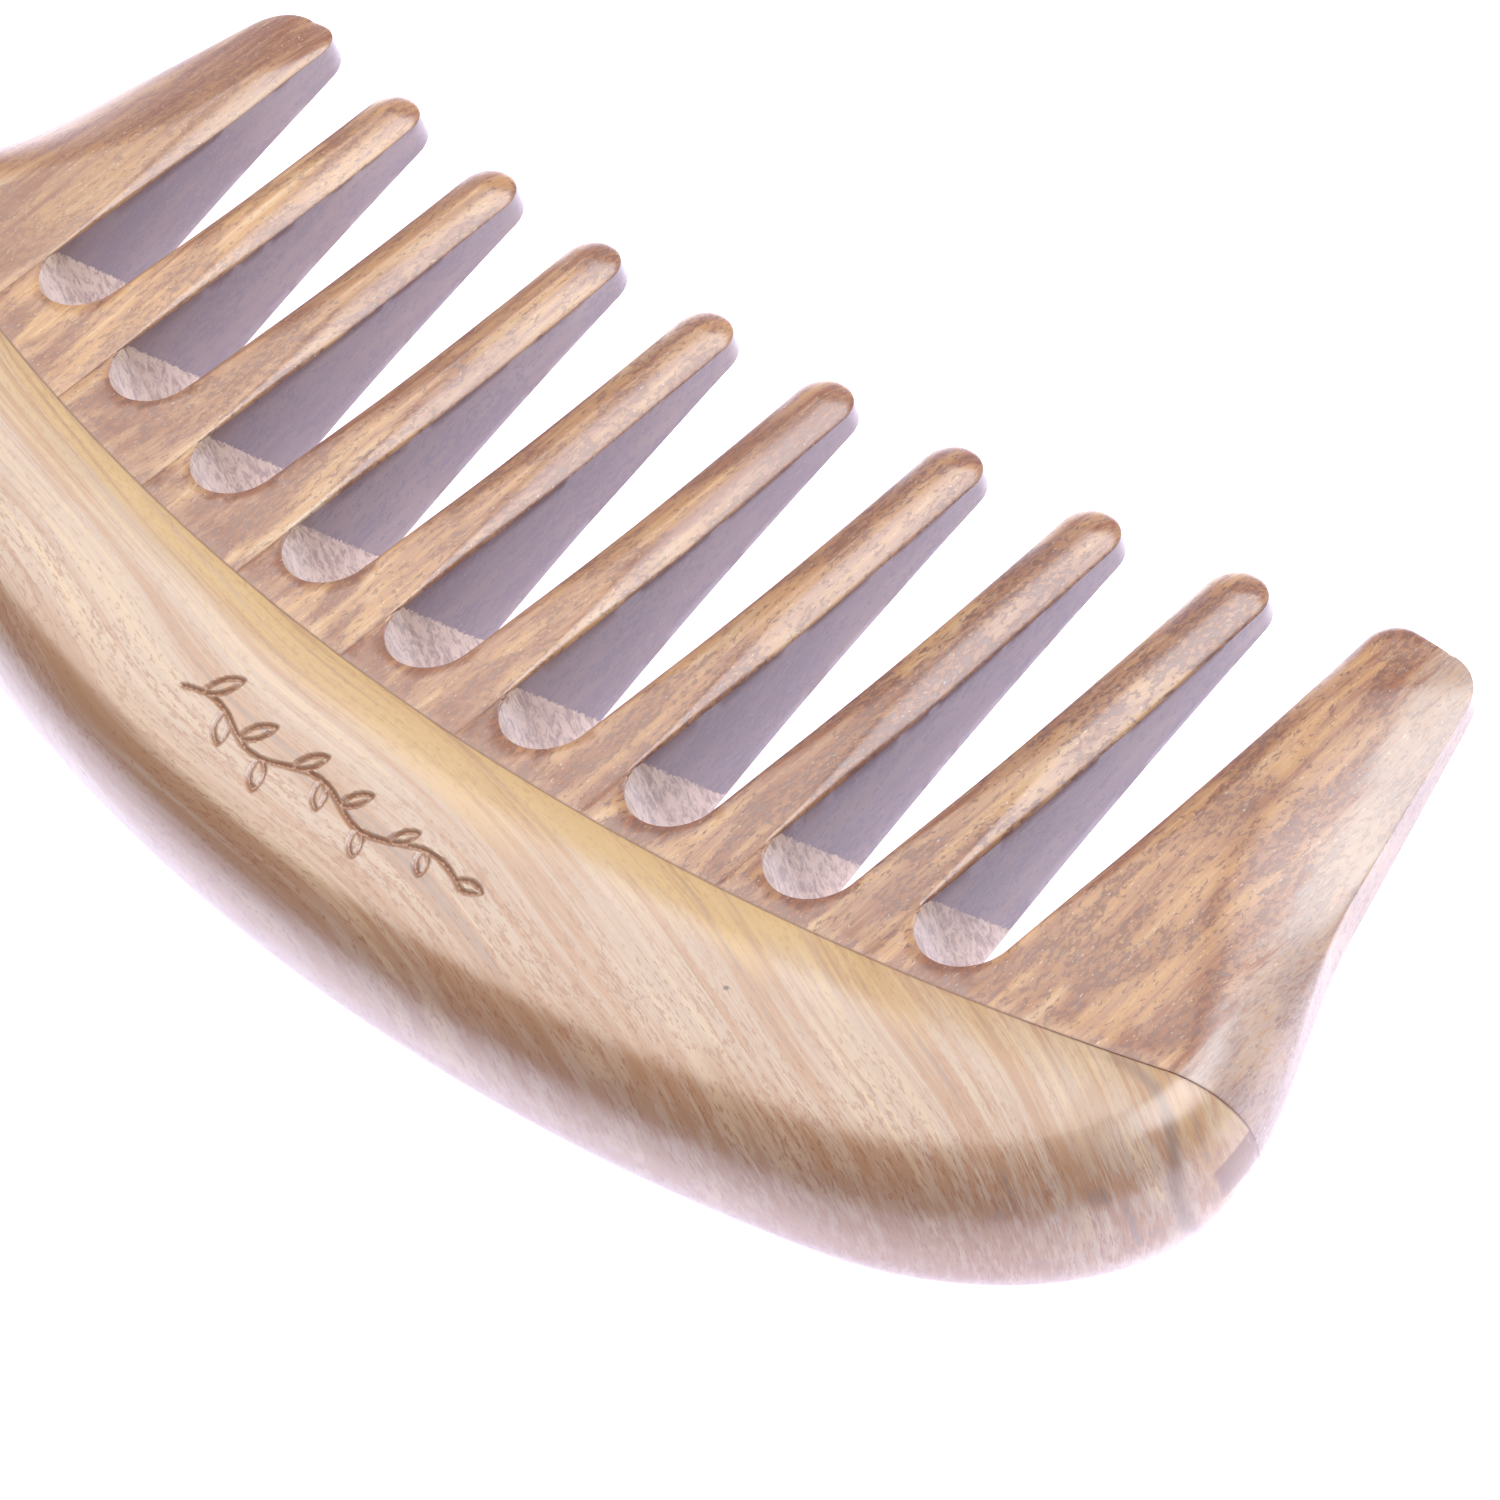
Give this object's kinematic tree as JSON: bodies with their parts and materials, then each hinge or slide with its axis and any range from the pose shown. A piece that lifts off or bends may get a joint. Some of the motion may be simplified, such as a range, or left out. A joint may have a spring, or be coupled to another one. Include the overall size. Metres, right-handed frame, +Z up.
{
  "type": "wide tooth comb",
  "caption": "Crescent wooden hand comb with a thick crowned back and widely spaced rounded teeth glued into it as separate staves.",
  "frame": {"origin": "centre of the bounding box in X and Y, on the lower crown of the back, which the comb rests on", "axes": "+X along the comb's length, +Y towards the tooth tips, +Z up through the thickness"},
  "size_m": [0.1548, 0.0666, 0.0138],
  "materials": {
    "back_wood": "polished golden brown sandalwood, waxed, long grain with swirling figure",
    "left_guard_tooth_wood": "polished reddish brown sandalwood with fine dark pores along the tooth",
    "tooth_1_wood": "polished reddish brown sandalwood with fine dark pores along the tooth",
    "tooth_2_wood": "polished reddish brown sandalwood with fine dark pores along the tooth",
    "tooth_3_wood": "polished reddish brown sandalwood with fine dark pores along the tooth",
    "tooth_4_wood": "polished reddish brown sandalwood with fine dark pores along the tooth",
    "tooth_5_wood": "polished reddish brown sandalwood with fine dark pores along the tooth",
    "tooth_6_wood": "polished reddish brown sandalwood with fine dark pores along the tooth",
    "tooth_7_wood": "polished reddish brown sandalwood with fine dark pores along the tooth",
    "tooth_8_wood": "polished reddish brown sandalwood with fine dark pores along the tooth",
    "right_guard_tooth_wood": "polished reddish brown sandalwood with fine dark pores along the tooth"
  },
  "bodies": {
    "root": {"back": "back_wood", "left_guard_tooth": "left_guard_tooth_wood", "tooth_1": "tooth_1_wood", "tooth_2": "tooth_2_wood", "tooth_3": "tooth_3_wood", "tooth_4": "tooth_4_wood", "tooth_5": "tooth_5_wood", "tooth_6": "tooth_6_wood", "tooth_7": "tooth_7_wood", "tooth_8": "tooth_8_wood", "right_guard_tooth": "right_guard_tooth_wood"}
  },
  "joints": []
}
